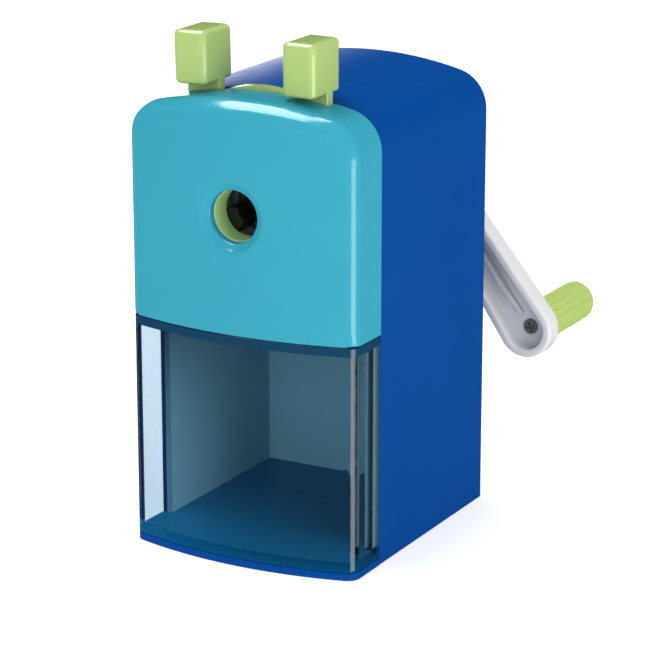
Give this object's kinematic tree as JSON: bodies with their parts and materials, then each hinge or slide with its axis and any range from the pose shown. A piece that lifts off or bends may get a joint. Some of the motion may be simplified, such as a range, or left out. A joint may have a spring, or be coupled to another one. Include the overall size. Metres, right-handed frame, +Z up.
{
  "type": "crank pencil sharpener",
  "caption": "Desk pencil sharpener with a squeeze-tab feed carriage, a helical cutter turned by a rear crank, and a see-through shavings drawer.",
  "frame": {"origin": "on the flat underside, below the pencil hole's axis, in the plane of the case's front edge", "axes": "+X to the right seen from the front, +Y from the pencil hole towards the crank, +Z up"},
  "size_m": [0.0727, 0.1252, 0.129],
  "materials": {
    "case_blue": "moulded blue plastic, satin gloss",
    "cover_cyan": "moulded light blue plastic, glossy",
    "tab_green": "moulded pale green plastic, glossy",
    "knob_green": "moulded yellow-green plastic, glossy",
    "crank_grey": "moulded light grey plastic",
    "drawer_clear": "clear plastic tinted blue",
    "frame_grey": "moulded grey plastic",
    "frame_dark": "moulded black plastic",
    "jaw_black": "moulded black plastic",
    "foot_rubber": "soft black rubber",
    "steel": "plated steel",
    "cast_steel": "die-cast metal",
    "cutter_steel": "ground tool steel",
    "brass": "brass"
  },
  "bodies": {
    "housing": {"body_shell": "case_blue", "base_plate": "case_blue", "base_screws": "steel", "rubber_feet": "foot_rubber", "front_bulkhead": "frame_grey", "bulkhead_screws": "steel", "guide_bush_left": "brass", "guide_bush_right": "brass", "cutter_tube": "frame_dark", "tube_screws": "steel", "ring_gear": "frame_grey", "rear_bushing": "brass", "feed_spring_left": "steel", "feed_spring_right": "steel"},
    "carriage": {"front_cover": "cover_cyan", "carriage_plate": "frame_grey", "cover_screws": "steel", "clamp_body": "tab_green", "clamp_screws": "steel", "guide_rod_left": "steel", "guide_rod_right": "steel", "rod_clips": "steel", "lever_spring": "steel"},
    "left_lever": {"lever_left": "tab_green"},
    "right_lever": {"lever_right": "tab_green"},
    "top_jaw": {"jaw_top": "jaw_black"},
    "left_jaw": {"jaw_left": "jaw_black"},
    "right_jaw": {"jaw_right": "jaw_black"},
    "crank": {"cutter_carrier": "cast_steel", "cutter_axle": "steel", "crank_arm": "crank_grey", "hub_washer": "steel", "hub_screw": "steel", "knob_sleeve": "crank_grey", "knob_screw": "steel"},
    "cutter": {"helical_cutter": "cutter_steel", "cutter_pinion": "brass"},
    "knob": {"crank_knob": "knob_green"},
    "drawer": {"shavings_drawer": "drawer_clear"}
  },
  "joints": [
    {"name": "carriage_pull", "type": "slide", "parent": "housing", "child": "carriage", "axis": [0, -1, 0], "range_m": [0, 0.034], "stiffness_N_per_m": 150, "springref_m": -0.03, "deforming": ["feed_spring_left", "feed_spring_right"]},
    {"name": "left_tab_squeeze", "type": "hinge", "parent": "carriage", "child": "left_lever", "pos_m": [0, -0.002, 0.087], "axis": [0, 1, 0], "range_deg": [0, 10], "stiffness_Nm_per_rad": 0.5, "springref_deg": -8.59, "deforming": ["lever_spring"]},
    {"name": "right_tab_squeeze", "type": "hinge", "parent": "carriage", "child": "right_lever", "pos_m": [0, -0.001, 0.087], "axis": [0, 1, 0], "range_deg": [-10, 0]},
    {"name": "top_jaw_open", "type": "slide", "parent": "carriage", "child": "top_jaw", "axis": [0, 0, 1], "range_m": [0, 0.0026]},
    {"name": "left_jaw_open", "type": "slide", "parent": "carriage", "child": "left_jaw", "axis": [-0.866, 0, -0.5], "range_m": [0, 0.0026]},
    {"name": "right_jaw_open", "type": "slide", "parent": "carriage", "child": "right_jaw", "axis": [0.866, 0, -0.5], "range_m": [0, 0.0026]},
    {"name": "crank_spin", "type": "hinge", "parent": "housing", "child": "crank", "pos_m": [0, 0.062, 0.087], "axis": [0, 1, 0], "continuous": true},
    {"name": "cutter_spin", "type": "hinge", "parent": "crank", "child": "cutter", "pos_m": [0, 0.04079, 0.0924], "axis": [0, 0.9833, -0.1822], "continuous": true},
    {"name": "knob_spin", "type": "hinge", "parent": "crank", "child": "knob", "pos_m": [0.03432, 0.09, 0.04087], "axis": [0, 1, 0], "continuous": true},
    {"name": "drawer_pull", "type": "slide", "parent": "housing", "child": "drawer", "axis": [0, -1, 0], "range_m": [0, 0.075]}
  ],
  "couplings": [
    {"joint": "right_tab_squeeze", "follows": "left_tab_squeeze", "ratio": -1},
    {"joint": "top_jaw_open", "follows": "left_tab_squeeze", "m_per_rad": 0.014324},
    {"joint": "left_jaw_open", "follows": "left_tab_squeeze", "m_per_rad": 0.014324},
    {"joint": "right_jaw_open", "follows": "left_tab_squeeze", "m_per_rad": 0.014324},
    {"joint": "cutter_spin", "follows": "crank_spin", "ratio": -2}
  ]
}
